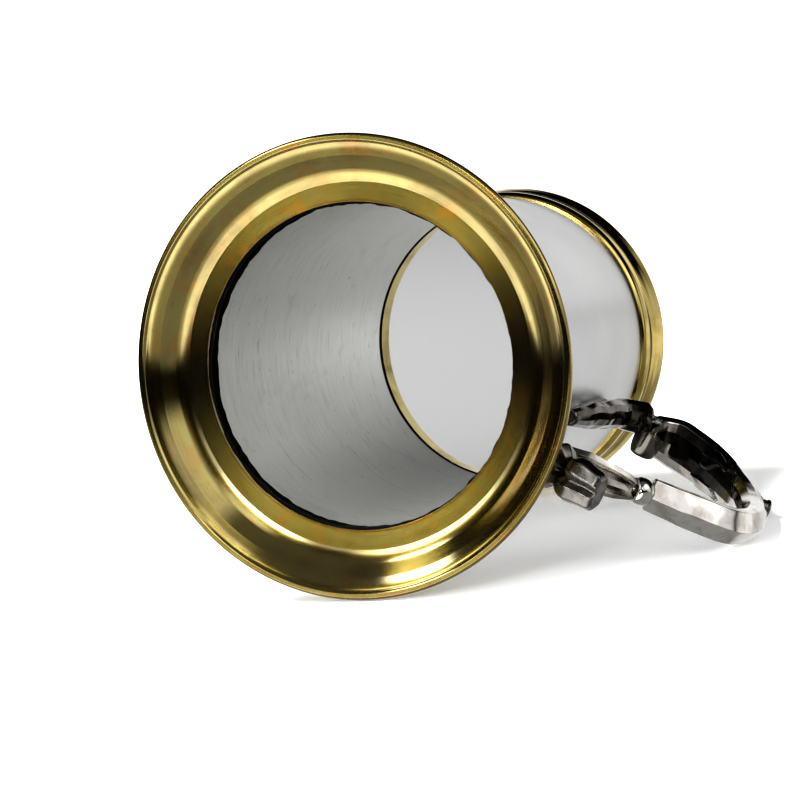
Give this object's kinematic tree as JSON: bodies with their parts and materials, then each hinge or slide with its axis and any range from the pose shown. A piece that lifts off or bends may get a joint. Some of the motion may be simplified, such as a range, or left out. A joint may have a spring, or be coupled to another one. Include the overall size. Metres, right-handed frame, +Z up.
{
  "type": "pewter and brass tankard",
  "caption": "Glass-bottomed pint tankard: pewter barrel, spreading brass foot, moulded brass rim band and a cast pewter broken-scroll handle.",
  "frame": {"origin": "centre of the foot's resting plane, on the barrel's axis", "axes": "+Z up along the barrel's axis to the mouth, +X towards the handle"},
  "size_m": [0.1562, 0.114, 0.13],
  "materials": {
    "pewter_barrel": "polished pewter outside, fine turning lines inside",
    "brass_foot": "satin brushed brass with brown patina in its hollows",
    "brass_rim": "polished brass",
    "clear_glass": "clear",
    "black_putty": "matt black bedding compound with a ragged edge",
    "solder": "dull solder",
    "dark_pewter": "polished dark pewter casting"
  },
  "bodies": {
    "root": {"barrel": "pewter_barrel", "foot": "brass_foot", "glass_base": "clear_glass", "putty_seal": "black_putty", "rim_band": "brass_rim", "rim_joint": "black_putty", "upper_solder_pad": "solder", "handle_bracket": "dark_pewter", "handle_volute": "dark_pewter", "handle_loop": "dark_pewter", "handle_leaf": "dark_pewter", "handle_plug": "dark_pewter", "handle_collar": "dark_pewter", "handle_lower_scroll": "dark_pewter", "handle_tail": "dark_pewter", "lower_solder_pad": "solder"}
  },
  "joints": []
}
